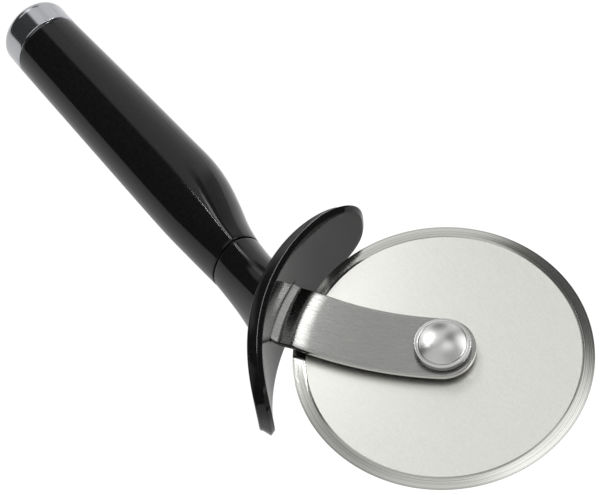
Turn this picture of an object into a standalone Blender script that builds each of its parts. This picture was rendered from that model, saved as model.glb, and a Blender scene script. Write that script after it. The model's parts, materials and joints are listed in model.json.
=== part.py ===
"""Pastry cutter wheel: a free-turning steel disc on a bent arm, with a curved finger guard and an oval grip.

The tool lies on its side. The disc's plane is horizontal and the handle runs along X, with the disc at +X.
Tool frame: origin at the disc's centre, +Z along the axle. An empty carries that frame to where the
object's base centre is the world origin.
"""

import math

import bmesh
import bpy
from mathutils import Matrix, Vector

MM = 0.001
GAP = 0.3 * MM
OVERRUN = 2 * MM
THROUGH = 40 * MM
SMOOTH_ANGLE = math.radians(35)

# Disc and axle, lengths along the axle from the disc's mid plane
DISC_RADIUS = 44.5 * MM
DISC_HALF_THICKNESS = 0.5 * MM
EDGE_HALF_THICKNESS = 0.12 * MM
GRIND_WIDTH = 3.8 * MM
GRIND_STEP = 1.3 * MM
BUSH_RADIUS = 4.0 * MM
BUSH_FLANGE_RADIUS = 5.8 * MM
BUSH_HALF_LENGTH = 1.3 * MM
BUSH_FLANGE_THICKNESS = 0.5 * MM
AXLE_RADIUS = 2.5 * MM
WASHER_RADIUS = 6.5 * MM
WASHER_THICKNESS = 0.5 * MM
AXLE_HEAD_RADIUS = 6.2 * MM
AXLE_HEAD_THICKNESS = 1.7 * MM
AXLE_HEAD_CHAMFER = 0.5 * MM
DOME_RADIUS = 8.5 * MM
DOME_HEIGHT = 1.3 * MM
DOME_RIM_WIDTH = 1.35 * MM
DOME_RISE = 1.3 * MM
DOME_BORE_DEPTH = 1.4 * MM
DOME_WASHER_RADIUS = 8.3 * MM
DOME_WASHER_THICKNESS = 0.5 * MM
TURN_STEPS = 36
DISC_STEPS = 96

# Arm: a flat strip of constant width on a curved line, with a small step up beside the guard
ARM_THICKNESS = 1.8 * MM
ARM_TOP = 4.2 * MM
ARM_HALF_WIDTH = 9.9 * MM
ARM_LINE_RADIUS = 118 * MM
ARM_START_ANGLE = math.radians(24)
ARM_END_ANGLE = math.radians(48)
ARM_STEP_UP = 1.0 * MM
ARM_STEP_START = 1.0 * MM
ARM_STEP_LENGTH = 5.0 * MM
ARM_STATIONS = 28
TIP_STATIONS = 8
TIP_SWEEP = math.radians(82.4)
TANG_HALF_WIDTH = 4.0 * MM
TANG_END_X = -128 * MM
TANG_FRONT_X = -60 * MM
TANG_END_PLAY = 1.5 * MM
PIN_POSITIONS_X = {"front": -92 * MM, "rear": -118 * MM}
PIN_RADIUS = 1.5 * MM
PIN_HALF_LENGTH = 8.0 * MM
PIN_STEPS = 24

# Handle: sections along X as (x, centre y, half width in the disc's plane, half depth along the axle)
HANDLE_AXIS_Y = -28.8 * MM
GRIP_SECTIONS = (
    (-170.4, -28.65, 11.50, 12.8),
    (-140.0, -27.70, 12.25, 13.0),
    (-110.0, -26.85, 12.90, 13.2),
    (-97.0, -26.55, 13.10, 13.3),
    (-88.0, -26.95, 12.50, 13.3),
    (-80.0, -27.70, 11.30, 13.2),
    (-72.0, -28.60, 9.90, 13.0),
    (-64.5, -29.00, 8.95, 12.9),
)
GRIP_WALL = 2.8 * MM
GRIP_END_GAP = 0.5 * MM
GRIP_RINGS = 16
RING_POINTS = 36
CORE_FRONT_X = -77 * MM
CORE_REAR_X = -161.5 * MM
CORE_FIT = 0.4 * MM
CORE_RINGS = 8

# End cap: a drawn cup, a plug inside it and a screw along the handle
CAP_FRONT_X = -170.9 * MM
CAP_END_X = -181.2 * MM
CAP_WALL = 0.9 * MM
CAP_EDGE_RADIUS = 3.0 * MM
CAP_EDGE_RINGS = 6
PLUG_REAR_X = -179.9 * MM
PLUG_STEP_X = -171.3 * MM
PLUG_FRONT_X = -162.0 * MM
SCREW_HEAD_RADIUS = 3.5 * MM
SCREW_HEAD_LENGTH = 2.0 * MM
SCREW_RADIUS = 1.6 * MM
SCREW_TIP_X = -150.0 * MM
SCREW_SINK = 0.2 * MM
BORE_FRONT_X = -149.0 * MM

# Finger guard: a plate on a cylinder around a line parallel to the axle
GUARD_CENTRE = Vector((-42.97, -26.76, 0.0)) * MM
GUARD_NORMAL_ANGLE = math.radians(30.6)
GUARD_ARC_RADIUS = 61.0 * MM
GUARD_REACH_UP = 38.5 * MM
GUARD_REACH_DOWN = 41.5 * MM
GUARD_HALF_DEPTH = 19.3 * MM
GUARD_CORNER = 0.413
GUARD_THICKNESS = 5.0 * MM
GUARD_UPPER_EDGE = 0.7
GUARD_LOWER_EDGE = 0.88
GUARD_BEVEL = 0.9 * MM
GUARD_CELLS = (22, 10)

# Collar between the neck and the guard, and the spigot inside the grip
NECK_X = -64.0 * MM
NECK_Y = -29.0 * MM
NECK_HALF_WIDTH = 8.9 * MM
NECK_HALF_DEPTH = 12.9 * MM
COLLAR_END_HALF_WIDTH = 12.2 * MM
COLLAR_END_HALF_DEPTH = 15.4 * MM
COLLAR_DROP = 2.0 * MM
COLLAR_SINK = 2.6 * MM
COLLAR_RINGS = 9
SPIGOT_END_X = -76.0 * MM
SPIGOT_END_Y = -28.9 * MM
SPIGOT_INSET = 3.15 * MM


def clear_scene():
    for obj in list(bpy.data.objects):
        bpy.data.objects.remove(obj, do_unlink=True)


def collection(name):
    made = bpy.data.collections.new(name)
    bpy.context.scene.collection.children.link(made)
    return made


def material(name, colour, roughness, metallic):
    made = bpy.data.materials.new(name)
    made.use_nodes = True
    shader = made.node_tree.nodes["Principled BSDF"]
    shader.inputs["Base Color"].default_value = (*colour, 1.0)
    shader.inputs["Roughness"].default_value = roughness
    shader.inputs["Metallic"].default_value = metallic
    return made


def mesh_of(name, bm):
    mesh = bpy.data.meshes.new(name)
    bm.to_mesh(mesh)
    bm.free()
    return mesh


def piece(name, mesh, finish, parent):
    """A named part of the object, smooth apart from its real edges."""
    obj = bpy.data.objects.new(name, mesh)
    parts.objects.link(obj)
    obj.parent = parent
    mesh.materials.append(finish)
    mesh.shade_smooth()
    mesh.set_sharp_from_angle(angle=SMOOTH_ANGLE)
    return obj


def cutter(name, mesh, parent):
    obj = bpy.data.objects.new(name, mesh)
    cutters.objects.link(obj)
    obj.parent = parent
    obj.hide_render = True
    obj.display_type = "WIRE"
    return obj


def boolean(obj, other, operation):
    modifier = obj.modifiers.new(f"{operation} {other.name}", "BOOLEAN")
    modifier.object = other
    modifier.operation = operation
    modifier.solver = "EXACT"


def loft(name, rings):
    """A closed skin through rings of equal point counts, capped flat at both ends."""
    bm = bmesh.new()
    made = [[bm.verts.new(point) for point in ring] for ring in rings]
    for lower, upper in zip(made, made[1:]):
        for i in range(len(lower)):
            j = (i + 1) % len(lower)
            bm.faces.new((lower[i], lower[j], upper[j], upper[i]))
    bm.faces.new(made[0])
    bm.faces.new(made[-1])
    bmesh.ops.recalc_face_normals(bm, faces=bm.faces)
    return mesh_of(name, bm)


def turned_piece(name, profile, finish, parent, steps=TURN_STEPS, closed=True):
    """A profile of (radius, height), turned about Z."""
    bm = bmesh.new()
    points = [bm.verts.new((radius, 0.0, height)) for radius, height in profile]
    pairs = list(zip(points, points[1:]))
    if closed:
        pairs.append((points[-1], points[0]))
    for pair in pairs:
        bm.edges.new(pair)
    obj = piece(name, mesh_of(name, bm), finish, parent)
    modifier = obj.modifiers.new("Turn", "SCREW")
    modifier.axis = "Z"
    modifier.steps = steps
    modifier.render_steps = steps
    modifier.use_merge_vertices = True
    modifier.merge_threshold = 0.00001
    modifier.use_smooth_shade = True
    return obj


def cylinder(name, radius, length, matrix, steps=32):
    bm = bmesh.new()
    bmesh.ops.create_cone(
        bm, cap_ends=True, segments=steps, radius1=radius, radius2=radius, depth=length, matrix=matrix
    )
    return mesh_of(name, bm)


def washer_profile(inner, outer, bottom, top):
    return ((outer, top), (outer, bottom), (inner, bottom), (inner, top))


def blend(values, x):
    """Catmull-Rom interpolation of rows that start with x."""
    rows = [tuple(v * MM for v in row) for row in values]
    k = max(i for i in range(len(rows) - 1) if rows[i][0] <= x or i == 0)
    x0, x1 = rows[k][0], rows[k + 1][0]
    t = (x - x0) / (x1 - x0)
    out = []
    for column in range(1, len(rows[0])):
        a, b = rows[k][column], rows[k + 1][column]
        before = rows[max(k - 1, 0)]
        after = rows[min(k + 2, len(rows) - 1)]
        slope_a = (b - before[column]) / (x1 - before[0]) * (x1 - x0)
        slope_b = (after[column] - a) / (after[0] - x0) * (x1 - x0)
        t2, t3 = t * t, t * t * t
        value = (2 * t3 - 3 * t2 + 1) * a + (t3 - 2 * t2 + t) * slope_a
        value += (3 * t2 - 2 * t3) * b + (t3 - t2) * slope_b
        out.append(value)
    return out


def oval(centre, half_width, half_depth, turn_angle=0.0):
    """A ring in the plane of Z and the Y direction turned by turn_angle about Z."""
    across = Vector((-math.sin(turn_angle), math.cos(turn_angle), 0.0))
    ring = []
    for i in range(RING_POINTS):
        a = 2 * math.pi * i / RING_POINTS
        ring.append(centre + across * (half_width * math.cos(a)) + Vector((0, 0, half_depth * math.sin(a))))
    return ring


def grip_ring(x, inset):
    centre_y, half_width, half_depth = blend(GRIP_SECTIONS, x)
    return oval(Vector((x, centre_y, 0.0)), half_width - inset, half_depth - inset)


def spread(start, end, count):
    return [start + (end - start) * i / (count - 1) for i in range(count)]


def guard_point(along, height, depth=0.0):
    """A point of the guard's front face on its arc, moved by depth towards the disc."""
    normal = Vector((math.cos(GUARD_NORMAL_ANGLE), math.sin(GUARD_NORMAL_ANGLE), 0.0))
    up = Vector((-normal.y, normal.x, 0.0))
    theta = along / GUARD_ARC_RADIUS
    reach = GUARD_ARC_RADIUS - depth
    offset = normal * (GUARD_ARC_RADIUS - reach * math.cos(theta)) + up * (reach * math.sin(theta))
    return GUARD_CENTRE + offset + Vector((0, 0, height))


def arm_edges():
    """Stations from the tang's end to the round tip, as (upper edge, lower edge, bottom height)."""
    bottom = ARM_TOP - ARM_THICKNESS
    low = bottom - ARM_STEP_UP
    stations = []
    for x in (TANG_END_X, TANG_FRONT_X):
        upper = Vector((x, HANDLE_AXIS_Y + TANG_HALF_WIDTH, 0))
        lower = Vector((x, HANDLE_AXIS_Y - TANG_HALF_WIDTH, 0))
        stations.append((upper, lower, low))
    sweep = ARM_END_ANGLE - ARM_START_ANGLE
    turn_centre = ARM_LINE_RADIUS * Vector((-math.sin(ARM_END_ANGLE), math.cos(ARM_END_ANGLE), 0))
    for i in range(ARM_STATIONS):
        heading = ARM_START_ANGLE + sweep * i / (ARM_STATIONS - 1)
        out = Vector((math.sin(heading), -math.cos(heading), 0))
        middle = turn_centre + out * ARM_LINE_RADIUS
        travelled = ARM_LINE_RADIUS * (heading - ARM_START_ANGLE)
        t = min(max((travelled - ARM_STEP_START) / ARM_STEP_LENGTH, 0.0), 1.0)
        lift = ARM_STEP_UP * t * t * (3 - 2 * t)
        stations.append((middle - out * ARM_HALF_WIDTH, middle + out * ARM_HALF_WIDTH, low + lift))
    forward = Vector((math.cos(ARM_END_ANGLE), math.sin(ARM_END_ANGLE), 0))
    out = Vector((math.sin(ARM_END_ANGLE), -math.cos(ARM_END_ANGLE), 0))
    for i in range(1, TIP_STATIONS + 1):
        a = TIP_SWEEP * i / TIP_STATIONS
        middle = forward * (ARM_HALF_WIDTH * math.sin(a))
        half = out * (ARM_HALF_WIDTH * math.cos(a))
        stations.append((middle - half, middle + half, bottom))
    return stations


def strip(stations, grow):
    rings = []
    for upper, lower, bottom in stations:
        side = (upper - lower).normalized() * grow
        low = Vector((0, 0, bottom - grow))
        high = Vector((0, 0, bottom + ARM_THICKNESS + grow))
        rings.append((upper + side + low, upper + side + high, lower - side + high, lower - side + low))
    return rings


clear_scene()
parts = collection("pastry_cutter_wheel")
cutters = collection("cutters")

gloss_black = material("gloss_black", (0.012, 0.012, 0.013), 0.18, 0.0)
core_grey = material("core_grey", (0.09, 0.09, 0.095), 0.55, 0.0)
chrome = material("chrome", (0.75, 0.75, 0.77), 0.08, 1.0)
brushed = material("brushed_steel", (0.55, 0.55, 0.54), 0.3, 1.0)
polished = material("polished_steel", (0.7, 0.7, 0.7), 0.12, 1.0)
satin = material("satin_steel", (0.72, 0.71, 0.69), 0.38, 1.0)
bearing = material("bearing_plastic", (0.75, 0.74, 0.7), 0.4, 0.0)
zinc = material("zinc_steel", (0.5, 0.5, 0.5), 0.35, 1.0)

root = bpy.data.objects.new("tool_frame", None)
parts.objects.link(root)
blade_axis = bpy.data.objects.new("blade_axis", None)
parts.objects.link(blade_axis)
blade_axis.parent = root

# Disc with its ground edge, and the bush fixed in it
bush_hole = BUSH_RADIUS + GAP
ground = DISC_HALF_THICKNESS - EDGE_HALF_THICKNESS
first_grind = DISC_HALF_THICKNESS - 0.2 * ground
disc_profile = (
    (bush_hole, DISC_HALF_THICKNESS),
    (DISC_RADIUS - GRIND_WIDTH, DISC_HALF_THICKNESS),
    (DISC_RADIUS - GRIND_WIDTH + GRIND_STEP, first_grind),
    (DISC_RADIUS, EDGE_HALF_THICKNESS),
    (DISC_RADIUS, -EDGE_HALF_THICKNESS),
    (DISC_RADIUS - GRIND_WIDTH + GRIND_STEP, -first_grind),
    (DISC_RADIUS - GRIND_WIDTH, -DISC_HALF_THICKNESS),
    (bush_hole, -DISC_HALF_THICKNESS),
)
turned_piece("blade_disc", disc_profile, satin, blade_axis, DISC_STEPS)

axle_hole = AXLE_RADIUS + GAP
flange_start = BUSH_HALF_LENGTH - BUSH_FLANGE_THICKNESS
bush_profile = (
    (axle_hole, BUSH_HALF_LENGTH),
    (BUSH_FLANGE_RADIUS, BUSH_HALF_LENGTH),
    (BUSH_FLANGE_RADIUS, flange_start),
    (BUSH_RADIUS, flange_start),
    (BUSH_RADIUS, -flange_start),
    (BUSH_FLANGE_RADIUS, -flange_start),
    (BUSH_FLANGE_RADIUS, -BUSH_HALF_LENGTH),
    (axle_hole, -BUSH_HALF_LENGTH),
)
turned_piece("hub_bush", bush_profile, bearing, blade_axis)

# Washers on both sides of the bush
spacer_bottom = BUSH_HALF_LENGTH + GAP
spacer = washer_profile(axle_hole, WASHER_RADIUS, spacer_bottom, spacer_bottom + WASHER_THICKNESS)
turned_piece("arm_spacer", spacer, bearing, root)
rear_top = -BUSH_HALF_LENGTH - GAP
rear = washer_profile(axle_hole, WASHER_RADIUS, rear_top - WASHER_THICKNESS, rear_top)
turned_piece("rear_washer", rear, polished, root)

# Dome over the axle, on its washer above the arm
washer_bottom = ARM_TOP + GAP
washer_top = washer_bottom + DOME_WASHER_THICKNESS
dome_washer = washer_profile(axle_hole, DOME_WASHER_RADIUS, washer_bottom, washer_top)
turned_piece("dome_washer", dome_washer, polished, root)
dome_bottom = washer_top + GAP
rim_top = dome_bottom + DOME_HEIGHT
crown_radius = DOME_RADIUS - DOME_RIM_WIDTH
crown_sphere = (crown_radius**2 + DOME_RISE**2) / (2 * DOME_RISE)
sphere_centre = rim_top + DOME_RISE - crown_sphere
dome_profile = [(0.0, rim_top + DOME_RISE)]
for i in range(1, 7):
    radius = crown_radius * i / 6
    dome_profile.append((radius, sphere_centre + math.sqrt(crown_sphere**2 - radius**2)))
dome_profile.append((DOME_RADIUS, rim_top))
bore_top = dome_bottom + DOME_BORE_DEPTH
dome_profile += [(DOME_RADIUS, dome_bottom), (axle_hole, dome_bottom), (axle_hole, bore_top), (0.0, bore_top)]
turned_piece("axle_dome_cap", dome_profile, polished, root, closed=False)

# Axle with its rear head
head_top = rear_top - WASHER_THICKNESS - GAP
head_bottom = head_top - AXLE_HEAD_THICKNESS
axle_profile = (
    (0.0, bore_top - GAP),
    (AXLE_RADIUS, bore_top - GAP),
    (AXLE_RADIUS, head_top),
    (AXLE_HEAD_RADIUS, head_top),
    (AXLE_HEAD_RADIUS, head_bottom + AXLE_HEAD_CHAMFER),
    (AXLE_HEAD_RADIUS - AXLE_HEAD_CHAMFER, head_bottom),
    (0.0, head_bottom),
)
turned_piece("axle_pin", axle_profile, polished, root, closed=False)

# Arm with its tang
stations = arm_edges()
arm = piece("blade_arm", loft("blade_arm", strip(stations, 0.0)), brushed, root)
axle_cut = cutter("axle_hole", cylinder("axle_hole", axle_hole, THROUGH, Matrix.Identity(4)), root)
boolean(arm, axle_cut, "DIFFERENCE")

# Grip, its cavity and the core inside
grip_xs = spread(CAP_FRONT_X + GRIP_END_GAP, NECK_X - GRIP_END_GAP, GRIP_RINGS)
grip = piece("handle_grip", loft("handle_grip", [grip_ring(x, 0.0) for x in grip_xs]), gloss_black, root)
cavity_xs = [grip_xs[0] - OVERRUN] + grip_xs[1:-1] + [grip_xs[-1] + OVERRUN]
cavity_rings = []
for x, reach in zip(grip_xs, cavity_xs):
    ring = grip_ring(x, GRIP_WALL)
    cavity_rings.append([Vector((reach, point.y, point.z)) for point in ring])
cavity = cutter("grip_cavity", loft("grip_cavity", cavity_rings), root)
boolean(grip, cavity, "DIFFERENCE")

core_xs = spread(CORE_REAR_X, CORE_FRONT_X, CORE_RINGS)
core_inset = GRIP_WALL + CORE_FIT
core = piece("handle_core", loft("handle_core", [grip_ring(x, core_inset) for x in core_xs]), core_grey, root)
end_play = Vector((-TANG_END_PLAY, 0, 0))
tang_upper, tang_lower, tang_bottom = stations[0]
slot_stations = [(tang_upper + end_play, tang_lower + end_play, tang_bottom), stations[1]]
tang_slot = cutter("tang_slot", loft("tang_slot", strip(slot_stations, GAP)), root)
boolean(core, tang_slot, "DIFFERENCE")

for label, x in PIN_POSITIONS_X.items():
    at = Matrix.Translation((x, HANDLE_AXIS_Y, 0))
    pin_mesh = cylinder(f"tang_pin_{label}", PIN_RADIUS, 2 * PIN_HALF_LENGTH, Matrix.Identity(4), PIN_STEPS)
    pin = piece(f"tang_pin_{label}", pin_mesh, zinc, root)
    pin.location = (x, HANDLE_AXIS_Y, 0)
    hole_mesh = cylinder(f"pin_hole_{label}", PIN_RADIUS + GAP, THROUGH, at, PIN_STEPS)
    hole = cutter(f"pin_hole_{label}", hole_mesh, root)
    boolean(core, hole, "DIFFERENCE")
    boolean(arm, hole, "DIFFERENCE")

# Guard plate, collar and spigot as one moulding
bm = bmesh.new()
columns, rows = GUARD_CELLS
bmesh.ops.create_grid(bm, x_segments=columns, y_segments=rows, size=1.0)
reach_of = {}
for vertex in bm.verts:
    u, v = vertex.co.x, vertex.co.y
    along = u * math.sqrt(1 - GUARD_CORNER * v * v)
    height = GUARD_HALF_DEPTH * v * math.sqrt(1 - GUARD_CORNER * u * u)
    reach_of[vertex.index] = along
    along *= GUARD_REACH_UP if along > 0 else GUARD_REACH_DOWN
    vertex.co = guard_point(along, height)
guard = piece("finger_guard", mesh_of("finger_guard", bm), gloss_black, root)
group = guard.vertex_groups.new(name="thickness")
for index, along in reach_of.items():
    edge = GUARD_UPPER_EDGE if along > 0 else GUARD_LOWER_EDGE
    group.add([index], 1 - (1 - edge) * along * along, "REPLACE")
shell = guard.modifiers.new("Plate", "SOLIDIFY")
shell.thickness = GUARD_THICKNESS
shell.offset = -1.0
shell.vertex_group = group.name
shell.use_even_offset = True
rim = guard.modifiers.new("Rim", "BEVEL")
rim.width = GUARD_BEVEL
rim.segments = 2
rim.limit_method = "ANGLE"
rim.angle_limit = math.radians(50)

neck_centre = Vector((NECK_X, NECK_Y, 0))
plate_centre = guard_point(-COLLAR_DROP, 0.0, -COLLAR_SINK)
spigot_half_width = NECK_HALF_WIDTH - SPIGOT_INSET
spigot_half_depth = NECK_HALF_DEPTH - SPIGOT_INSET
collar_rings = [
    oval(Vector((SPIGOT_END_X, SPIGOT_END_Y, 0)), spigot_half_width, spigot_half_depth),
    oval(neck_centre, spigot_half_width, spigot_half_depth),
]
for i in range(COLLAR_RINGS):
    t = i / (COLLAR_RINGS - 1)
    flare = t**3
    half_width = NECK_HALF_WIDTH + (COLLAR_END_HALF_WIDTH - NECK_HALF_WIDTH) * flare
    half_depth = NECK_HALF_DEPTH + (COLLAR_END_HALF_DEPTH - NECK_HALF_DEPTH) * flare
    centre = neck_centre.lerp(plate_centre, t)
    collar_rings.append(oval(centre, half_width, half_depth, GUARD_NORMAL_ANGLE * t))
collar = cutter("collar", loft("collar", collar_rings), root)
boolean(guard, collar, "UNION")
slot = cutter("arm_slot", loft("arm_slot", strip(stations[:6], GAP)), root)
boolean(guard, slot, "DIFFERENCE")

# End cap: cup, plug and screw
cap_y, cap_width, cap_depth = blend(GRIP_SECTIONS, CAP_FRONT_X + GRIP_END_GAP)


def cap_ring(x, inset):
    return oval(Vector((x, cap_y, 0)), cap_width - inset, cap_depth - inset)


def cup_rings(front, end, inset, edge):
    rings = [cap_ring(front, inset)]
    for i in range(CAP_EDGE_RINGS):
        a = math.radians(90) * i / (CAP_EDGE_RINGS - 1)
        rings.append(cap_ring(end + edge * (1 - math.sin(a)), inset + edge * (1 - math.cos(a))))
    return rings


def rear_bore(name, radius, front_x):
    """A cutter along the handle, from front_x out through the rear end."""
    at = Matrix.Translation((front_x - THROUGH / 2, cap_y, 0)) @ Matrix.Rotation(math.radians(90), 4, "Y")
    return cutter(name, cylinder(name, radius, THROUGH, at), root)


cap = piece("end_cap", loft("end_cap", cup_rings(CAP_FRONT_X, CAP_END_X, 0.0, CAP_EDGE_RADIUS)), chrome, root)
hollow_edge = CAP_EDGE_RADIUS - CAP_WALL
hollow_rings = cup_rings(CAP_FRONT_X + OVERRUN, CAP_END_X + CAP_WALL, CAP_WALL, hollow_edge)
boolean(cap, cutter("cap_hollow", loft("cap_hollow", hollow_rings), root), "DIFFERENCE")

plug_inset = CAP_WALL + GAP
plug_rings = cup_rings(PLUG_STEP_X, PLUG_REAR_X, plug_inset, hollow_edge)[::-1]
plug_rings.append(cap_ring(PLUG_STEP_X, core_inset))
plug_rings.append(cap_ring(PLUG_FRONT_X + GAP, core_inset))
plug = piece("end_cap_plug", loft("end_cap_plug", plug_rings), core_grey, root)

head_rear_x = PLUG_REAR_X + SCREW_SINK
head_front_x = head_rear_x + SCREW_HEAD_LENGTH
screw_profile = (
    (0.0, SCREW_TIP_X),
    (SCREW_RADIUS, SCREW_TIP_X),
    (SCREW_RADIUS, head_front_x),
    (SCREW_HEAD_RADIUS, head_front_x),
    (SCREW_HEAD_RADIUS, head_rear_x),
    (0.0, head_rear_x),
)
screw = turned_piece("end_cap_screw", screw_profile, zinc, root, 32, closed=False)
screw.location = (0, cap_y, 0)
screw.rotation_euler = (0, math.radians(90), 0)

screw_bore = rear_bore("screw_bore", SCREW_RADIUS + GAP, BORE_FRONT_X)
boolean(plug, screw_bore, "DIFFERENCE")
boolean(core, screw_bore, "DIFFERENCE")
head_seat = rear_bore("head_seat", SCREW_HEAD_RADIUS + GAP, head_front_x + GAP)
boolean(plug, head_seat, "DIFFERENCE")

# The base centre of the whole object becomes the world origin
bpy.context.view_layer.update()
graph = bpy.context.evaluated_depsgraph_get()
corners = []
for obj in parts.objects:
    if obj.type == "MESH":
        solid = obj.evaluated_get(graph)
        corners += [solid.matrix_world @ vertex.co for vertex in solid.data.vertices]
low = Vector([min(c[k] for c in corners) for k in range(3)])
high = Vector([max(c[k] for c in corners) for k in range(3)])
root.location = (-(low.x + high.x) / 2, -(low.y + high.y) / 2, -low.z)
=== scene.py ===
"""Looks of the pastry cutter wheel: fine meshes, materials, studio light and camera."""

import json
import math

import bmesh
import bpy
from mathutils import Matrix, Vector


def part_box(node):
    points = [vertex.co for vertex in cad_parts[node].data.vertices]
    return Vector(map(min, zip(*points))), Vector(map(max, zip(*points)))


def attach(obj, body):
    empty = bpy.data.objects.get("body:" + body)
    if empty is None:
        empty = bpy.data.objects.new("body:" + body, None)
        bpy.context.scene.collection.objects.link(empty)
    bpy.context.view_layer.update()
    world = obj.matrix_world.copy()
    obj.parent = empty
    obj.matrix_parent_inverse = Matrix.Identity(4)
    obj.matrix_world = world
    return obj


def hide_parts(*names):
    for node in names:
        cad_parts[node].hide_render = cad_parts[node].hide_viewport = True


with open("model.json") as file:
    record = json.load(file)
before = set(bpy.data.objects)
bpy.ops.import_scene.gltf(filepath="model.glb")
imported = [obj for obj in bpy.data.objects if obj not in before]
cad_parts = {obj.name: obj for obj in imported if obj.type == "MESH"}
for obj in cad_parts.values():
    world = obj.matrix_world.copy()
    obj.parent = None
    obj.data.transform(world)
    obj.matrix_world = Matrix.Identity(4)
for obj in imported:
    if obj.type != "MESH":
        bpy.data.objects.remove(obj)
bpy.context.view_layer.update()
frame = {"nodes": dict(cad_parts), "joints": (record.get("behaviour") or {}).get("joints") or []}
MM = 0.001
TURN = 2 * math.pi
ON_AXIS = 1e-7

# The tool frame: the disc's centre, with Z along the axle. The spin joint states it.
HUB = Vector(frame["joints"][0]["pos_m"])

# Roundings with a radius of 1: (1 - cos, 1 - sin) over a quarter circle, coarse and fine
QUARTER = [(1 - math.cos(a), 1 - math.sin(a)) for a in (math.radians(15 * i) for i in range(7))]
FINE = [(1 - math.cos(a), 1 - math.sin(a)) for a in (math.radians(7.5 * i) for i in range(13))]


def up_to(node, axis, high=True):
    """A node's limit along an axis (0, 1 or 2), measured from the disc's centre."""
    low_corner, high_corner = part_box(node)
    return (high_corner if high else low_corner)[axis] - HUB[axis]


# ---------------------------------------------------------------- mesh helpers


def finish_mesh(name, bm, sharp_deg=30):
    bmesh.ops.recalc_face_normals(bm, faces=bm.faces)
    mesh = bpy.data.meshes.new(name)
    bm.to_mesh(mesh)
    bm.free()
    mesh.shade_smooth()
    mesh.set_sharp_from_angle(angle=math.radians(sharp_deg))
    obj = bpy.data.objects.new(name, mesh)
    bpy.context.scene.collection.objects.link(obj)
    obj.location = HUB
    return obj


def skin(bm, rings, closed_loop=False):
    """Quads through rings of equal point counts; a ring of one point is a pole."""
    made = [[bm.verts.new(p) for p in ring] for ring in rings]
    pairs = list(zip(made, made[1:]))
    if closed_loop:
        pairs.append((made[-1], made[0]))
    for a, b in pairs:
        n = max(len(a), len(b))
        for i in range(n):
            j = (i + 1) % n
            if len(a) == 1:
                bm.faces.new((a[0], b[j], b[i]))
            elif len(b) == 1:
                bm.faces.new((a[i], a[j], b[0]))
            else:
                bm.faces.new((a[i], a[j], b[j], b[i]))
    return made


def turned(name, profile, steps, sharp_deg=30):
    """A closed loop of (radius, height) turned about the axle; radius 0 makes a pole."""
    bm = bmesh.new()
    around = [(math.cos(TURN * i / steps), math.sin(TURN * i / steps)) for i in range(steps)]
    rings = []
    for radius, height in profile:
        if radius < ON_AXIS:
            rings.append([Vector((0, 0, height))])
        else:
            rings.append([Vector((radius * c, radius * s, height)) for c, s in around])
    loop = len(rings[0]) > 1 and len(rings[-1]) > 1
    skin(bm, rings, closed_loop=loop)
    return finish_mesh(name, bm, sharp_deg)


def arc(cx, cz, radius, start_deg, end_deg, count):
    """Points of a fillet in the (radius, height) plane."""
    out = []
    for i in range(count + 1):
        a = math.radians(start_deg + (end_deg - start_deg) * i / count)
        out.append((cx + radius * math.cos(a), cz + radius * math.sin(a)))
    return out


def ring_profile(inner, outer, bottom, top, edge):
    """A washer's closed profile with rounded outer edges."""
    pts = [(inner, top)]
    pts += arc(outer - edge, top - edge, edge, 90, 0, 4)
    pts += arc(outer - edge, bottom + edge, edge, 0, -90, 4)
    pts += [(inner, bottom)]
    return pts


def boolean(obj, cut, operation="DIFFERENCE"):
    """Applies a Boolean and removes the cutter."""
    modifier = obj.modifiers.new("cut", "BOOLEAN")
    modifier.object = cut
    modifier.operation = operation
    modifier.solver = "EXACT"
    bpy.context.view_layer.update()
    graph = bpy.context.evaluated_depsgraph_get()
    mesh = bpy.data.meshes.new_from_object(obj.evaluated_get(graph))
    obj.modifiers.clear()
    obj.data = mesh
    bpy.data.objects.remove(cut)
    return obj


def smoothstep(t):
    t = min(max(t, 0.0), 1.0)
    return t * t * (3 - 2 * t)


# ---------------------------------------------------------------- material helpers


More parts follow.
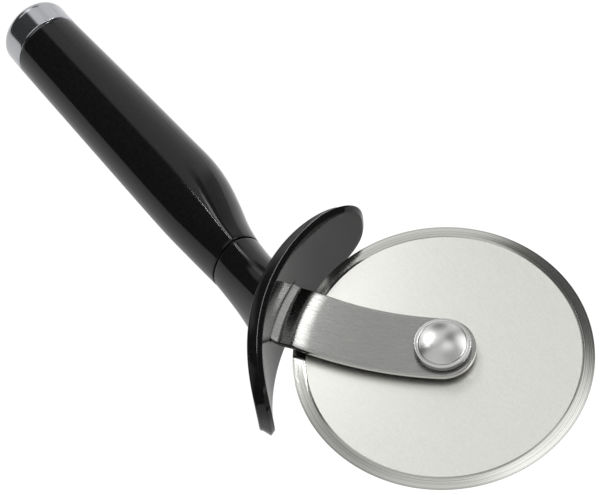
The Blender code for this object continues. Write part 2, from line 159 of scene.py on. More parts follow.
class Nodes:
    """Short forms for building the node tree of a material or of the world."""

    def __init__(self, name, world=False):
        self.material = (bpy.data.worlds if world else bpy.data.materials).new(name)
        self.material.use_nodes = True
        self.tree = self.material.node_tree
        self.shader = self.tree.nodes["Background" if world else "Principled BSDF"]

    def add(self, kind, **values):
        node = self.tree.nodes.new(kind)
        for key, value in values.items():
            if hasattr(node, key):
                setattr(node, key, value)
            else:
                node.inputs[key.replace("_", " ")].default_value = value
        return node

    def link(self, a, b):
        self.tree.links.new(a, b)

    def coords(self, scale=(1, 1, 1), source="Object"):
        mapping = self.add("ShaderNodeMapping")
        mapping.inputs["Scale"].default_value = scale
        self.link(self.add("ShaderNodeTexCoord").outputs[source], mapping.inputs["Vector"])
        return mapping.outputs["Vector"]

    def noise(self, vector, scale, detail=4.0, roughness=0.55):
        node = self.add("ShaderNodeTexNoise")
        node.inputs["Scale"].default_value = scale
        node.inputs["Detail"].default_value = detail
        node.inputs["Roughness"].default_value = roughness
        self.link(vector, node.inputs["Vector"])
        return node.outputs["Fac"]

    def span(self, value, low, high, to_low, to_high, soft=False):
        node = self.add("ShaderNodeMapRange", interpolation_type="SMOOTHSTEP" if soft else "LINEAR")
        limits = {"From Min": low, "From Max": high, "To Min": to_low, "To Max": to_high}
        for key, number in limits.items():
            node.inputs[key].default_value = number
        self.link(value, node.inputs["Value"])
        return node.outputs["Result"]

    def math(self, operation, a, b):
        node = self.add("ShaderNodeMath", operation=operation)
        for socket, value in zip(node.inputs, (a, b)):
            if isinstance(value, (int, float)):
                socket.default_value = value
            else:
                self.link(value, socket)
        return node.outputs["Value"]

    def mix(self, factor, a, b):
        node = self.add("ShaderNodeMix", data_type="RGBA")
        self.link(factor, node.inputs["Factor"])
        for socket, value in zip((node.inputs[6], node.inputs[7]), (a, b)):
            if isinstance(value, tuple):
                socket.default_value = (*value, 1.0)
            else:
                self.link(value, socket)
        return node.outputs[2]

    def bump(self, height, distance, strength=1.0, normal=None):
        node = self.add("ShaderNodeBump")
        node.inputs["Distance"].default_value = distance
        node.inputs["Strength"].default_value = strength
        self.link(height, node.inputs["Height"])
        if normal is not None:
            self.link(normal, node.inputs["Normal"])
        return node.outputs["Normal"]

    def set(self, **values):
        for key, value in values.items():
            socket = self.shader.inputs[key.replace("_", " ")]
            if isinstance(value, tuple):
                socket.default_value = (*value, 1.0) if len(value) == 3 else value
            elif isinstance(value, (int, float)):
                socket.default_value = value
            else:
                self.link(value, socket)


def gloss_plastic(name, base, rough_low, rough_high):
    """Moulded glossy plastic: slight waviness, faint smears and hairline scratches."""
    m = Nodes(name)
    xyz = m.coords()
    smear = m.noise(m.coords((18, 60, 60)), 1.0, 5.0)
    grain = m.noise(xyz, 900.0, 2.0)
    wave = m.noise(xyz, 70.0, 1.0)
    scratch = m.noise(m.coords((120, 2600, 2600)), 1.0, 2.0)
    m.set(Base_Color=m.mix(m.span(grain, 0.35, 0.65, 0.0, 1.0), base, tuple(v * 1.5 for v in base)))
    rough = m.span(smear, 0.4, 0.68, rough_low, rough_high)
    lines = m.span(scratch, 0.66, 0.72, 0.0, 0.03)
    m.set(Roughness=m.math("ADD", rough, lines), Metallic=0.0, IOR=1.34)
    normal = m.bump(wave, 0.00003)
    m.set(Normal=m.bump(grain, 0.000002, 1.0, normal))
    return m.material


def matt_plastic(name, base):
    m = Nodes(name)
    grain = m.noise(m.coords(), 1400.0, 3.0)
    cloud = m.noise(m.coords(), 120.0, 3.0)
    m.set(Base_Color=m.mix(m.span(cloud, 0.3, 0.7, 0.0, 1.0), tuple(v * 0.85 for v in base), base))
    m.set(Roughness=m.span(grain, 0.3, 0.7, 0.42, 0.58), Metallic=0.0)
    m.set(Normal=m.bump(grain, 0.00001))
    return m.material


def polished_metal(name, base, rough_low, rough_high):
    """Plated or polished metal: faint haze, fine random wipe marks."""
    m = Nodes(name)
    haze = m.noise(m.coords(), 140.0, 5.0)
    wipe = m.noise(m.coords((900, 240, 900)), 1.0, 3.0)
    tint = tuple(v * 0.93 for v in base)
    m.set(Base_Color=m.mix(m.span(haze, 0.35, 0.7, 0.0, 1.0), base, tint), Metallic=1.0)
    rough = m.span(haze, 0.35, 0.7, rough_low, rough_high)
    marks = m.span(wipe, 0.62, 0.75, 0.0, 0.05)
    m.set(Roughness=m.math("ADD", rough, marks))
    m.set(Normal=m.bump(haze, 0.000008))
    return m.material


def brushed_metal(name, base):
    """Steel brushed along its UV map (u along, v across), with a painted highlight on its rounded
    edges, which are also smoother.
    """
    m = Nodes(name)
    fine = m.noise(m.coords((10, 420, 1), "UV"), 1.0, 6.0, 0.75)
    coarse = m.noise(m.coords((4, 110, 1), "UV"), 1.0, 3.0)
    cloud = m.noise(m.coords(), 90.0, 3.0)
    light = tuple(min(v * 1.22, 1.0) for v in base)
    dark = tuple(v * 0.74 for v in base)
    shade = m.mix(m.span(fine, 0.3, 0.7, 0.0, 1.0), dark, light)
    face = m.mix(m.span(cloud, 0.3, 0.7, 0.0, 0.3), shade, base)
    split = m.add("ShaderNodeSeparateXYZ")
    m.link(m.coords(source="Normal"), split.inputs["Vector"])
    # Painted highlight: where the normal turns away from straight up, on the rounded edges, the
    # colour is made much brighter; the roughness there drops as well.
    edge = m.span(m.math("ABSOLUTE", split.outputs["Z"], 0.0), 0.8, 0.93, 1.0, 0.0)
    m.set(Base_Color=m.mix(edge, face, tuple(min(v * 2.3, 1.0) for v in base)), Metallic=1.0)
    rough = m.math("ADD", m.span(fine, 0.3, 0.7, 0.2, 0.3), m.span(coarse, 0.3, 0.7, -0.03, 0.04))
    rough = m.math("MULTIPLY", rough, m.span(edge, 0.0, 1.0, 1.0, 0.55))
    m.set(Roughness=rough, Anisotropic=0.8, Anisotropic_Rotation=0.25)
    tangent = m.add("ShaderNodeTangent", direction_type="UV_MAP", uv_map="along")
    m.link(tangent.outputs["Tangent"], m.shader.inputs["Tangent"])
    normal = m.bump(coarse, 0.000004)
    m.set(Normal=m.bump(fine, 0.000006, 1.0, normal))
    return m.material


def satin_disc(name, base, inner_grind):
    """Fine mottled satin on the flat, and turning lines on the ground edge."""
    m = Nodes(name)
    xyz = m.coords()
    mottle = m.noise(xyz, 1500.0, 4.0, 0.6)
    streak = m.noise(m.coords((600, 2400, 900)), 1.0, 4.0, 0.6)
    cloud = m.noise(xyz, 38.0, 3.0)
    split = m.add("ShaderNodeSeparateXYZ")
    m.link(xyz, split.inputs["Vector"])
    x_square = m.math("POWER", split.outputs["X"], 2.0)
    y_square = m.math("POWER", split.outputs["Y"], 2.0)
    radius = m.math("SQRT", m.math("ADD", x_square, y_square), 0.0)
    on_grind = m.span(radius, inner_grind - 0.0001, inner_grind + 0.0001, 0.0, 1.0)
    ring_at = m.add("ShaderNodeCombineXYZ")
    m.link(radius, ring_at.inputs["X"])
    rings = m.noise(ring_at.outputs["Vector"], 2000.0, 4.0, 0.7)
    mark = m.math("MULTIPLY", m.math("ADD", mottle, streak), 0.5)
    flat = m.mix(m.span(mark, 0.4, 0.6, 0.0, 1.0), tuple(v * 0.92 for v in base), base)
    flat = m.mix(m.span(cloud, 0.3, 0.7, 0.0, 0.25), flat, tuple(v * 0.94 for v in base))
    dark_line, light_line = tuple(v * 0.26 for v in base), tuple(v * 0.95 for v in base)
    ground = m.mix(m.span(rings, 0.38, 0.62, 0.0, 1.0), dark_line, light_line)
    m.set(Base_Color=m.mix(on_grind, flat, ground), Metallic=1.0)
    flat_rough = m.span(mark, 0.35, 0.65, 0.34, 0.46)
    ring_rough = m.span(rings, 0.3, 0.7, 0.09, 0.15)
    on_flat = m.math("SUBTRACT", 1.0, on_grind)

    def either(flat_value, ring_value):
        flat_part = m.math("MULTIPLY", on_flat, flat_value)
        return m.math("ADD", flat_part, m.math("MULTIPLY", on_grind, ring_value))

    m.set(Roughness=either(flat_rough, ring_rough))
    m.set(Normal=m.bump(either(mark, rings), 0.000007))
    return m.material


def dress(obj, finish, body, slot, *nodes):
    obj.data.materials.clear()
    obj.data.materials.append(finish)
    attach(obj, body)
    if nodes:
        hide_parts(*nodes)
    return obj


# ---------------------------------------------------------------- sizes, in the tool frame

DISC_RADIUS = up_to("blade_disc", 0)
DISC_HALF = up_to("blade_disc", 2)
GRIND_WIDTH = 3.9 * MM
BORE = 2.8 * MM
HOLE_REACH = 12 * MM
ARM_TOP = up_to("blade_arm", 2)
ARM_THICKNESS = 1.8 * MM
ARM_HALF_WIDTH = 9.9 * MM
ARM_LINE_RADIUS = 118 * MM
ARM_START = math.radians(24)
ARM_END = math.radians(48)
ARM_EDGE = 0.3 * MM
SLOT_GAP = 0.3 * MM
SLOT_STATIONS = 26
ROOT_REACH = 3.5 * MM
# Slopes of the arm's root at distances in mm from the guard's face
ROOT_SLOPES = (
    (0.0, 0.0),
    (0.3, -0.19),
    (2.3, -0.19),
    (2.9, 0.29),
    (6.3, 0.29),
    (7.4, 0.1),
    (12.5, 0.0),
)
FACE_COLUMNS = 16
UV_SIZE = 50 * MM
HANDLE_Y = -28.8 * MM
TANG_HALF = 4.0 * MM
TANG_END_X = up_to("blade_arm", 0, False)
TANG_FRONT_X = -60 * MM
# Sections of the grip in mm: x, the centre's y, half width, half depth
GRIP_SECTIONS = (
    (-170.4, -28.65, 11.50, 12.8),
    (-140.0, -27.70, 12.25, 13.0),
    (-110.0, -26.85, 12.90, 13.2),
    (-97.0, -26.55, 13.10, 13.3),
    (-88.0, -26.95, 12.50, 13.3),
    (-80.0, -27.70, 11.30, 13.2),
    (-72.0, -28.60, 9.90, 13.0),
    (-64.5, -29.00, 8.95, 12.9),
)
GRIP_WALL = 2.8 * MM
GUARD_CENTRE = Vector((-43.0, -26.75, 0.0)) * MM
GUARD_ANGLE = math.radians(30.6)
GUARD_ARC = 61.0 * MM
GUARD_UP = 38.5 * MM
GUARD_DOWN = 41.5 * MM
GUARD_HALF_DEPTH = up_to("finger_guard", 2)
GUARD_POWER = 2.65
GUARD_MID_THICKNESS = 5.0 * MM
GUARD_TOP_THICKNESS = 3.7 * MM
GUARD_LOW_THICKNESS = 4.4 * MM
GUARD_CHAMFER = 1.15 * MM
CREST_WIDTH = 0.36 * MM
CREST_DROP = 0.2 * MM
GUARD_RIM_DROP = 1.9 * MM
GUARD_BACK_ROUND = 0.8 * MM
NECK_X = -64.0 * MM
NECK_Y = -29.0 * MM
NECK_WIDTH = 8.9 * MM
NECK_DEPTH = 12.9 * MM
COLLAR_DROP = 2.0 * MM
COLLAR_SINK = 2.6 * MM
COLLAR_FLARE_WIDTH = 3.4 * MM
COLLAR_FLARE_DEPTH = 2.6 * MM
SPIGOT_END = Vector((-76.0, -28.9, 0.0)) * MM
SPIGOT_INSET = 3.15 * MM
EDGE = 0.35 * MM
SEAM_LIP = 0.4 * MM
LIP_INSET = 0.65 * MM


def sections(x):
    """Centre y, half width and half depth of the grip at x, smooth through its sections."""
    rows = [tuple(v * MM for v in row) for row in GRIP_SECTIONS]
    k = max(i for i in range(len(rows) - 1) if rows[i][0] <= x or i == 0)
    x0, x1 = rows[k][0], rows[k + 1][0]
    t = (x - x0) / (x1 - x0)
    before = rows[max(k - 1, 0)]
    after = rows[min(k + 2, len(rows) - 1)]
    out = []
    for c in (1, 2, 3):
        a, b = rows[k][c], rows[k + 1][c]
        slope_a = (b - before[c]) / (x1 - before[0]) * (x1 - x0)
        slope_b = (after[c] - a) / (after[0] - x0) * (x1 - x0)
        t2, t3 = t * t, t * t * t
        value = (2 * t3 - 3 * t2 + 1) * a + (t3 - 2 * t2 + t) * slope_a
        out.append(value + (3 * t2 - 2 * t3) * b + (t3 - t2) * slope_b)
    return out


def oval(centre, half_width, half_depth, turn=0.0, points=144, ridge=0.0):
    """A ring round a centre, in a plane turned about Z. A ridge draws its tops to a soft edge."""
    across = Vector((-math.sin(turn), math.cos(turn), 0.0))
    out = []
    for i in range(points):
        a = TURN * i / points
        c = math.cos(a)
        side = math.copysign(abs(c) ** (1.0 + ridge), c)
        out.append(centre + across * (half_width * side) + Vector((0, 0, half_depth * math.sin(a))))
    return out


# ---------------------------------------------------------------- handle grip


def grip_ridge(x):
    return 0.22 * smoothstep((x + 92 * MM) / (26 * MM))


def grip_ring(x, inset):
    y, width, depth = sections(x)
    return oval(Vector((x, y, 0)), width - inset, depth - inset, ridge=grip_ridge(x))


rear_x = up_to("handle_grip", 0, False)
front_x = up_to("handle_grip", 0)
rings = [grip_ring(rear_x + EDGE * deep, EDGE * flat) for flat, deep in reversed(QUARTER)]
for i in range(1, 110):
    rings.append(grip_ring(rear_x + EDGE + (front_x - rear_x - 2 * EDGE) * i / 110, 0.0))
rings += [grip_ring(front_x - EDGE * deep, EDGE * flat) for flat, deep in QUARTER]
inner = []
for i in range(13):
    inner.append(grip_ring(front_x - (front_x - rear_x) * i / 12, GRIP_WALL))
bm = bmesh.new()
skin(bm, rings + inner, closed_loop=True)
grip = finish_mesh("grip", bm, 40)

# ---------------------------------------------------------------- end cap

cap_front = up_to("end_cap", 0)
cap_end = up_to("end_cap", 0, False)
cap_y, cap_width, cap_depth = sections(GRIP_SECTIONS[0][0] * MM)
CAP_ROUND = 3.0 * MM
CAP_WALL = 0.9 * MM


def cap_ring(x, inset):
    return oval(Vector((x, cap_y, 0)), cap_width - inset, cap_depth - inset)


LIP = 0.45 * MM
cap_rings = [cap_ring(cap_front + SEAM_LIP, LIP_INSET), cap_ring(cap_front, LIP_INSET)]
cap_rings += [cap_ring(cap_front - LIP * flat, LIP * deep) for flat, deep in QUARTER]
straight = cap_end + CAP_ROUND - (cap_front - LIP)
for i in range(1, 12):
    cap_rings.append(cap_ring(cap_front - LIP + straight * i / 12, 0.0))
cap_rings += [cap_ring(cap_end + CAP_ROUND * deep, CAP_ROUND * flat) for flat, deep in FINE]
for k in (0.8, 0.6, 0.4, 0.2):
    end_width, end_depth = (cap_width - CAP_ROUND) * k, (cap_depth - CAP_ROUND) * k
    cap_rings.append(oval(Vector((cap_end, cap_y, 0)), end_width, end_depth))
cap_rings.append([Vector((cap_end, cap_y, 0))])
hollow = [[Vector((cap_end + CAP_WALL, cap_y, 0))]]
r = CAP_ROUND - CAP_WALL
for flat, deep in reversed(FINE):
    hollow.append(cap_ring(cap_end + CAP_WALL + r * deep, CAP_WALL + r * flat))
hollow.append(cap_ring(cap_front + SEAM_LIP, CAP_WALL))
bm = bmesh.new()
outer_rings = skin(bm, cap_rings)
inner_rings = skin(bm, hollow)
first, last = outer_rings[0], inner_rings[-1]
for i in range(len(first)):
    j = (i + 1) % len(first)
    bm.faces.new((first[i], first[j], last[j], last[i]))
end_cap = finish_mesh("chrome_end_cap", bm, 40)

# ---------------------------------------------------------------- finger guard with its collar


def guard_point(along, height, depth=0.0):
    """A point of the guard's front face; depth moves it away from the disc."""
    normal = Vector((math.cos(GUARD_ANGLE), math.sin(GUARD_ANGLE), 0.0))
    up = Vector((-normal.y, normal.x, 0.0))
    theta = along / GUARD_ARC
    reach = GUARD_ARC + depth
    offset = normal * (GUARD_ARC - reach * math.cos(theta)) + up * (reach * math.sin(theta))
    return GUARD_CENTRE + offset + Vector((0, 0, height))


def guard_thickness(along):
    k = along / (GUARD_UP if along > 0 else GUARD_DOWN)
    edge = GUARD_TOP_THICKNESS if along > 0 else GUARD_LOW_THICKNESS
    return GUARD_MID_THICKNESS + (edge - GUARD_MID_THICKNESS) * smoothstep(abs(k))


def guard_ring(inset, depth, from_back=False, scale=1.0, points=288):
    out = []
    for i in range(points):
        a = TURN * i / points
        c, s = math.cos(a), math.sin(a)
        u = math.copysign(abs(c) ** (2 / GUARD_POWER), c)
        v = math.copysign(abs(s) ** (2 / GUARD_POWER), s)
        reach = GUARD_UP if u > 0 else GUARD_DOWN
        along = u * (reach - inset) * scale
        height = v * (GUARD_HALF_DEPTH - inset) * scale
        back = guard_thickness(along) - depth if from_back else depth
        out.append(guard_point(along, height, back))
    return out


guard_rings = [[guard_point(0, 0, 0)]]
for i in range(1, 25):
    guard_rings.append(guard_ring(GUARD_CHAMFER + 0.15 * MM, 0.0, scale=i / 24))
guard_rings.append(guard_ring(GUARD_CHAMFER + 0.05 * MM, 0.01 * MM))
guard_rings.append(guard_ring(GUARD_CHAMFER - 0.03 * MM, 0.08 * MM))
guard_rings.append(guard_ring(CREST_DROP + 0.08 * MM, GUARD_CHAMFER - 0.08 * MM))
guard_rings.append(guard_ring(CREST_DROP, GUARD_CHAMFER))
guard_rings.append(guard_ring(0.03 * MM, GUARD_CHAMFER + CREST_WIDTH - 0.04 * MM))
guard_rings.append(guard_ring(0.0, GUARD_CHAMFER + CREST_WIDTH + 0.02 * MM))
guard_rings.append(guard_ring(0.02 * MM, GUARD_CHAMFER + CREST_WIDTH + 0.08 * MM))
for flat, deep in QUARTER:
    inset = GUARD_RIM_DROP + GUARD_BACK_ROUND * flat
    guard_rings.append(guard_ring(inset, GUARD_BACK_ROUND * deep, True))
for i in range(23, 0, -1):
    guard_rings.append(guard_ring(GUARD_RIM_DROP + GUARD_BACK_ROUND, 0.0, True, scale=i / 24))
guard_rings.append([guard_point(0, 0, GUARD_MID_THICKNESS)])
bm = bmesh.new()
skin(bm, guard_rings)
guard = finish_mesh("guard", bm, 40)


def neck_ring(centre, inset, ridge):
    return oval(centre, NECK_WIDTH - inset, NECK_DEPTH - inset, ridge=ridge)


neck_centre = Vector((NECK_X, NECK_Y, 0))
plate_centre = guard_point(-COLLAR_DROP, 0.0, COLLAR_SINK)
lip_centre = neck_centre - Vector((SEAM_LIP, 0, 0))
neck_ridge = grip_ridge(NECK_X)
collar_rings = [neck_ring(SPIGOT_END, SPIGOT_INSET, 0.0), neck_ring(lip_centre, SPIGOT_INSET, 0.0)]
for centre in (lip_centre, neck_centre):
    collar_rings.append(neck_ring(centre, LIP_INSET, neck_ridge))
for flat, deep in QUARTER:
    at = neck_centre + Vector((EDGE * flat, 0, 0))
    collar_rings.append(neck_ring(at, EDGE * deep, neck_ridge))
for i in range(1, 41):
    t = i / 40
    flare = t**3
    width = NECK_WIDTH + COLLAR_FLARE_WIDTH * flare
    depth = NECK_DEPTH + COLLAR_FLARE_DEPTH * flare
    centre = (neck_centre + Vector((EDGE, 0, 0))).lerp(plate_centre, t)
    ridge = neck_ridge * (1 - smoothstep(t / 0.8))
    collar_rings.append(oval(centre, width, depth, GUARD_ANGLE * t, ridge=ridge))
bm = bmesh.new()
made = skin(bm, collar_rings)
bm.faces.new(made[0])
bm.faces.new(made[-1])
collar = finish_mesh("collar", bm, 40)
boolean(guard, collar, "UNION")

# ---------------------------------------------------------------- arm


def root_height(d):
    """How far the arm lies under its final level at a distance d (mm) from the guard's face."""
    total = 0.0
    for (d0, slope0), (d1, slope1) in zip(ROOT_SLOPES, ROOT_SLOPES[1:]):
        if d < d1:
            start = max(d, d0)
            slope = slope0 + (slope1 - slope0) * (start - d0) / (d1 - d0)
            total += (slope + slope1) / 2 * (d1 - start)
    return -total


def arm_stations(count=120):
    """Stations as (upper edge, lower edge), from the tang's end to the round tip."""
    out = []
    for x in (TANG_END_X, TANG_FRONT_X):
        out.append((Vector((x, HANDLE_Y + TANG_HALF, 0)), Vector((x, HANDLE_Y - TANG_HALF, 0))))
    centre = ARM_LINE_RADIUS * Vector((-math.sin(ARM_END), math.cos(ARM_END), 0))
    first = centre + Vector((math.sin(ARM_START), -math.cos(ARM_START), 0)) * ARM_LINE_RADIUS
    forward = Vector((math.cos(ARM_START), math.sin(ARM_START), 0))
    side = Vector((math.sin(ARM_START), -math.cos(ARM_START), 0)) * ARM_HALF_WIDTH
    for i in range(10):
        middle = first - forward * (ROOT_REACH * (1 - i / 10))
        out.append((middle - side, middle + side))
    for i in range(count):
        heading = ARM_START + (ARM_END - ARM_START) * i / (count - 1)
        side = Vector((math.sin(heading), -math.cos(heading), 0))
        middle = centre + side * ARM_LINE_RADIUS
        out.append((middle - side * ARM_HALF_WIDTH, middle + side * ARM_HALF_WIDTH))
    forward = Vector((math.cos(ARM_END), math.sin(ARM_END), 0))
    side = Vector((math.sin(ARM_END), -math.cos(ARM_END), 0))
    for i in range(1, 23):
        a = math.radians(i * 4)
        middle = forward * (ARM_HALF_WIDTH * math.sin(a))
        half = side * (ARM_HALF_WIDTH * math.cos(a))
        out.append((middle - half, middle + half))
    return out


def strip_ring(upper, lower, grow, edge):
    """A flat section with rounded corners and points across its faces."""
    across = upper - lower
    half = across.length / 2 + grow
    across.normalize()
    middle = (upper + lower) / 2
    r = min(edge, half * 0.9)
    low_z, high_z = ARM_TOP - ARM_THICKNESS - grow, ARM_TOP + grow
    outline = []
    for y, z, start, end in (
        (half - r, high_z - r, 90, 0),
        (half - r, low_z + r, 0, -90),
        (r - half, low_z + r, -90, -180),
        (r - half, high_z - r, 180, 90),
    ):
        for k in range(4):
            a = math.radians(start + (end - start) * k / 3)
            outline.append((y + r * math.cos(a), z + r * math.sin(a)))
        if start in (0, 180):
            last, face_z = (half - r, low_z) if start == 0 else (r - half, high_z)
            for k in range(1, FACE_COLUMNS):
                outline.append((last - 2 * last * k / FACE_COLUMNS, face_z))
    return [middle + across * y + Vector((0, 0, z)) for y, z in outline]


def strip(name, stations, grow=0.0, edge=ARM_EDGE):
    bm = bmesh.new()
    made = skin(bm, [strip_ring(u, v, grow, edge) for u, v in stations])
    bm.faces.new(made[0])
    bm.faces.new(made[-1])
    facing_disc = Vector((math.cos(GUARD_ANGLE), math.sin(GUARD_ANGLE), 0.0))
    axis = guard_point(0.0, 0.0) + facing_disc * GUARD_ARC
    for vertex in bm.verts:
        gap = GUARD_ARC - math.hypot(vertex.co.x - axis.x, vertex.co.y - axis.y)
        vertex.co.z += root_height(gap / MM) * MM
    return finish_mesh(name, bm, 40)


stations = arm_stations()
arm = strip("arm", stations)
hole_top = [(0.0, HOLE_REACH), (BORE, HOLE_REACH)]
hole = turned("hole", hole_top + [(r, -z) for r, z in reversed(hole_top)], 64)
boolean(arm, hole)
slot_cut = strip("slot_cut", stations[:SLOT_STATIONS], grow=SLOT_GAP)
boolean(guard, slot_cut)

# Planar UVs for the brushing: u along the arm's curved line, v across it
layer = arm.data.uv_layers.new(name="along")
turn_centre = ARM_LINE_RADIUS * Vector((-math.sin(ARM_END), math.cos(ARM_END), 0))
for loop in arm.data.loops:
    point = arm.data.vertices[loop.vertex_index].co - turn_centre
    along = math.atan2(point.x, -point.y) * ARM_LINE_RADIUS
    across = math.hypot(point.x, point.y) - ARM_LINE_RADIUS
    layer.data[loop.index].uv = (along / UV_SIZE, across / UV_SIZE)

# ---------------------------------------------------------------- disc, bush, axle, washers, dome

# The upper side of the grind in mm: distance out from its start, drop below the flat
GRIND_PROFILE = (
    (-0.02, 0.0),
    (0.02, 0.012),
    (0.9, 0.1),
    (0.93, 0.11),
    (2.2, 0.22),
    (2.23, 0.235),
)
DISC_BORE = 4.3 * MM
tip = 0.1 * MM
inner_grind = DISC_RADIUS - GRIND_WIDTH
disc_top = [(DISC_BORE, DISC_HALF)]
disc_top += [(inner_grind + out * MM, DISC_HALF - drop * MM) for out, drop in GRIND_PROFILE]
disc_top += [(DISC_RADIUS - 0.05 * MM, tip), (DISC_RADIUS, tip * 0.5)]
disc_loop = disc_top + [(r, -z) for r, z in reversed(disc_top)]
disc = turned("disc", disc_loop, 360, 12)

FLANGE = 0.5 * MM
BUSH_BODY = 4.0 * MM
BUSH_EDGE = 0.2 * MM
bush_half = up_to("hub_bush", 2)
bush_radius = up_to("hub_bush", 0)
bush_loop = [(BORE, bush_half)]
bush_loop += arc(bush_radius - BUSH_EDGE, bush_half - BUSH_EDGE, BUSH_EDGE, 90, 0, 4)
bush_loop += [(bush_radius, bush_half - FLANGE), (BUSH_BODY, bush_half - FLANGE)]
bush_loop += [(BUSH_BODY, FLANGE - bush_half), (bush_radius, FLANGE - bush_half)]
bush_loop += arc(bush_radius - BUSH_EDGE, BUSH_EDGE - bush_half, BUSH_EDGE, 0, -90, 4)
bush_loop += [(BORE, -bush_half)]
bush = turned("bush", bush_loop, 96)


def washer(name, node, edge):
    loop = ring_profile(BORE, up_to(node, 0), up_to(node, 2, False), up_to(node, 2), edge)
    return turned(name, loop, 128, 40)


spacer = washer("spacer", "arm_spacer", 0.12 * MM)
rear = washer("washer_rear", "rear_washer", 0.12 * MM)
dome_ring = washer("dome_ring", "dome_washer", 0.22 * MM)

dome_low = up_to("axle_dome_cap", 2, False)
dome_high = up_to("axle_dome_cap", 2)
dome_radius = up_to("axle_dome_cap", 0)
RIM_WIDTH = 1.35 * MM
RIM_HEIGHT = 0.55 * MM
WALL_INSET = 0.6 * MM
RIM_ROUND = 0.3 * MM
CROWN_RISE = 1.3 * MM
POCKET_DEPTH = 1.4 * MM
rim_top = dome_high - CROWN_RISE
crown = dome_radius - RIM_WIDTH
crown_sphere = (crown**2 + CROWN_RISE**2) / (2 * CROWN_RISE)
dome_loop = [(0.0, dome_high)]
for i in range(1, 25):
    r = crown * i / 24
    dome_loop.append((r, dome_high - crown_sphere + math.sqrt(crown_sphere**2 - r**2)))
dome_loop += [
    (crown + 0.08 * MM, rim_top - 0.12 * MM),
    (crown + 0.2 * MM, rim_top - 0.04 * MM),
    (crown + 0.35 * MM, rim_top),
]
dome_loop += arc(dome_radius - RIM_ROUND, rim_top - RIM_ROUND, RIM_ROUND, 90, 0, 6)
wall = dome_radius - WALL_INSET
pocket_top = dome_low + POCKET_DEPTH
dome_loop += [
    (dome_radius, rim_top - RIM_HEIGHT),
    (wall, rim_top - RIM_HEIGHT - 0.15 * MM),
    (wall, dome_low + 0.1 * MM),
    (wall - 0.1 * MM, dome_low),
    (BORE, dome_low),
    (BORE, pocket_top),
    (0.0, pocket_top),
]
dome = turned("dome", dome_loop, 160, 50)

AXLE_RADIUS = 2.5 * MM
HEAD_HEIGHT = 1.7 * MM
HEAD_TOP_ROUND = 0.3 * MM
HEAD_LOW_ROUND = 0.7 * MM
HEAD_DIMPLE_RADIUS = 2.0 * MM
HEAD_DIMPLE_DEPTH = 0.35 * MM
head_low = up_to("axle_pin", 2, False)
head_radius = up_to("axle_pin", 0)
head_top = head_low + HEAD_HEIGHT
pin_top = up_to("axle_pin", 2)
axle_loop = [(0.0, pin_top), (AXLE_RADIUS, pin_top), (AXLE_RADIUS, head_top)]
axle_loop += arc(head_radius - HEAD_TOP_ROUND, head_top - HEAD_TOP_ROUND, HEAD_TOP_ROUND, 90, 0, 4)
axle_loop += arc(head_radius - HEAD_LOW_ROUND, head_low + HEAD_LOW_ROUND, HEAD_LOW_ROUND, 0, -90, 8)
axle_loop += [
    (HEAD_DIMPLE_RADIUS, head_low),
    (HEAD_DIMPLE_RADIUS - 0.3 * MM, head_low + HEAD_DIMPLE_DEPTH),
    (0.0, head_low + HEAD_DIMPLE_DEPTH),
]
axle = turned("axle", axle_loop, 128, 30)

# ---------------------------------------------------------------- finishes

black = gloss_plastic("gloss_black", (0.0058, 0.0058, 0.006), 0.06, 0.11)
chrome = polished_metal("chrome", (0.42, 0.427, 0.445), 0.1, 0.14)
polished = polished_metal("polished_steel", (0.55, 0.55, 0.54), 0.22, 0.28)
brushed = brushed_metal("brushed_steel", (0.33, 0.329, 0.319))
satin = satin_disc("satin_steel", (0.76, 0.76, 0.72), inner_grind)
bearing = matt_plastic("bearing_plastic", (0.75, 0.74, 0.7))
core_grey = matt_plastic("core_grey", (0.09, 0.09, 0.095))
zinc = polished_metal("zinc_steel", (0.5, 0.5, 0.5), 0.3, 0.4)

dress(grip, black, "handle", "gloss_black", "handle_grip")
dress(guard, black, "handle", "gloss_black", "finger_guard")
dress(end_cap, chrome, "handle", "chrome", "end_cap")
dress(arm, brushed, "handle", "brushed_steel", "blade_arm")
dress(dome, polished, "handle", "polished_steel", "axle_dome_cap")
dress(dome_ring, polished, "handle", "polished_steel", "dome_washer")
dress(axle, polished, "handle", "polished_steel", "axle_pin")
dress(rear, polished, "handle", "polished_steel", "rear_washer")
dress(spacer, bearing, "handle", "bearing_plastic", "arm_spacer")
dress(disc, satin, "blade", "satin_steel", "blade_disc")
dress(bush, bearing, "blade", "bearing_plastic", "hub_bush")

for node, finish in (
    ("handle_core", core_grey),
    ("end_cap_plug", core_grey),
    ("end_cap_screw", zinc),
    ("tang_pin_front", zinc),
    ("tang_pin_rear", zinc),
):
    node_mesh = frame["nodes"][node].data
    node_mesh.materials.clear()
    node_mesh.materials.append(finish)

# ---------------------------------------------------------------- floor, light and camera

bm = bmesh.new()
bmesh.ops.create_grid(bm, x_segments=1, y_segments=1, size=0.8)
floor_mesh = bpy.data.meshes.new("floor")
bm.to_mesh(floor_mesh)
bm.free()
floor = bpy.data.objects.new("floor", floor_mesh)
bpy.context.scene.collection.objects.link(floor)
floor.location = (0, 0, -0.0002)
pale = Nodes("pale_floor")
pale.set(Base_Color=(0.9, 0.9, 0.9), Roughness=0.7)
pale.set(Emission_Color=(1.0, 1.0, 1.0), Emission_Strength=0.3)
seen = pale.add("ShaderNodeEmission", Strength=1.05)
either = pale.add("ShaderNodeMixShader")
pale.link(pale.add("ShaderNodeLightPath").outputs["Is Camera Ray"], either.inputs["Fac"])
pale.link(pale.shader.outputs["BSDF"], either.inputs[1])
pale.link(seen.outputs["Emission"], either.inputs[2])
pale.link(either.outputs["Shader"], pale.tree.nodes["Material Output"].inputs["Surface"])
floor_mesh.materials.append(pale.material)

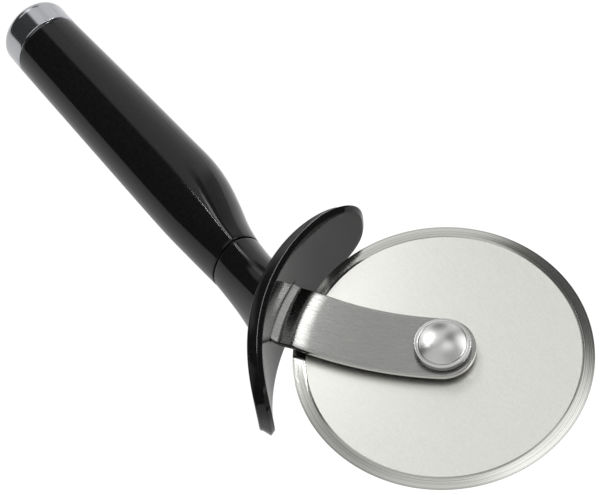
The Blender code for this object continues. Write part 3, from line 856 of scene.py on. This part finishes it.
# The studio round the object, as a brightness for each direction: a wide soft light above the far
# side with darker gaps in it, smaller ones in front and behind the handle, three soft spots, and
# darkness low on the right. The camera itself sees plain white.
AMBIENT = 0.07
studio = Nodes("studio", world=True)
bpy.context.scene.world = studio.material
toward = studio.add("ShaderNodeTexCoord").outputs["Generated"]
split = studio.add("ShaderNodeSeparateXYZ")
studio.link(toward, split.inputs["Vector"])


def lobe(direction, inner_deg, outer_deg):
    """1 within an angle of a direction, fading to 0 at a wider one."""
    node = studio.add("ShaderNodeVectorMath", operation="DOT_PRODUCT")
    studio.link(toward, node.inputs[0])
    node.inputs[1].default_value = Vector(direction).normalized()
    low, high = math.cos(math.radians(outer_deg)), math.cos(math.radians(inner_deg))
    return studio.span(node.outputs["Value"], low, high, 0.0, 1.0, True)


def zone(axis, low, high):
    """0 below a limit of the direction's X, Y or Z and 1 above a higher one, or reversed."""
    if low > high:
        return studio.span(split.outputs[axis], high, low, 1.0, 0.0, True)
    return studio.span(split.outputs[axis], low, high, 0.0, 1.0, True)


def product(*factors):
    value = factors[0]
    for factor in factors[1:]:
        value = studio.math("MULTIPLY", value, factor)
    return value


def without(darker, amount):
    """1, less an amount of a darker part."""
    return studio.math("SUBTRACT", 1.0, studio.math("MULTIPLY", darker, amount))


low_right = product(zone("X", 0.02, 0.3), zone("Z", 0.78, 0.5))
flag = lobe((-0.75, 0.46, 0.47), 4, 13)
gap_x = product(zone("X", -0.52, -0.47), zone("X", 0.05, -0.1))
gap = product(gap_x, zone("Y", 0.38, 0.44), zone("Y", 0.68, 0.58))
far_side = product(
    zone("Y", -0.06, 0.1),
    zone("Z", -0.04, 0.0),
    without(low_right, 1.0),
    without(flag, 0.85),
    without(gap, 0.92),
)
front = product(zone("X", -0.46, -0.4), zone("Z", 0.45, 0.7), zone("Y", 0.1, -0.06))
behind_y = product(zone("Y", -0.45, -0.3), zone("Y", 0.3, 0.15))
behind = product(zone("X", -0.64, -0.7), zone("Z", 0.42, 0.55), behind_y)
nearer = studio.span(split.outputs["X"], -0.48, -0.41, 1.0, 0.45, True)
level = studio.math("ADD", product(far_side, nearer), AMBIENT)
for part, strength in (
    (lobe((-0.2, 0.34, 0.92), 3, 10), 1.3),
    (lobe((-0.22, 0.16, 0.96), 3, 10), 0.5),
    (front, 0.8),
    (behind, 0.9),
    (lobe((-0.08, 0.72, 0.69), 6, 18), 1.6),
):
    level = studio.math("ADD", level, product(part, strength))
choose = studio.add("ShaderNodeMix")
studio.link(studio.add("ShaderNodeLightPath").outputs["Is Camera Ray"], choose.inputs[0])
studio.link(level, choose.inputs[2])
choose.inputs[3].default_value = 1.0
studio.shader.inputs["Color"].default_value = (1.0, 1.0, 1.0, 1.0)
studio.link(choose.outputs[0], studio.shader.inputs["Strength"])


def lamp(name, place, target, along, width, height, watts):
    """A soft rectangular light at a place in the tool frame, facing a target."""
    data = bpy.data.lights.new(name, "AREA")
    data.shape = "RECTANGLE"
    data.size, data.size_y = width * MM, height * MM
    data.energy = watts
    light = bpy.data.objects.new(name, data)
    bpy.context.scene.collection.objects.link(light)
    facing_away = (Vector(place) - Vector(target)).normalized()
    wide = Vector(along) - facing_away * facing_away.dot(Vector(along))
    wide.normalize()
    axes = Matrix((wide, facing_away.cross(wide), facing_away)).transposed().to_4x4()
    light.matrix_world = Matrix.Translation(HUB + Vector(place) * MM) @ axes


lamp("neck_streak", (-264, -27, 361), (-66, -28, 0), (1, 0, 0), 28, 4, 0.03)
lamp("root_glint", (-144, 16, 164), (-30, -22, 4), (0.51, -0.86, 0), 60, 30, 0.03)
lamp("crest_line", (240, 660, 685), (-43, -27, 19), (-0.49, 0.87, 0), 600, 80, 2.2)

view = bpy.context.scene.view_settings
view.view_transform = "Standard"
view.look = "None"

camera_data = bpy.data.cameras.new("camera")
camera_data.sensor_width = 36.0
camera_data.lens = 142.8
camera = bpy.data.objects.new("camera", camera_data)
bpy.context.scene.collection.objects.link(camera)
AZIMUTH, ELEVATION, ROLL = math.radians(-28.77), math.radians(57.27), math.radians(-8.88)
AIM = HUB + Vector((-56.84, -10.77, 0.0)) * MM
DISTANCE = 725.6 * MM
level_part = math.cos(ELEVATION)
back = Vector(
    (level_part * math.cos(AZIMUTH), level_part * math.sin(AZIMUTH), math.sin(ELEVATION))
)
facing = back.to_track_quat("Z", "Y").to_matrix().to_4x4()
place = Matrix.Translation(AIM + back * DISTANCE)
camera.matrix_world = place @ facing @ Matrix.Rotation(ROLL, 4, "Z")
camera_data.clip_start = 0.01
bpy.context.scene.camera = camera

bpy.context.view_layer.update()
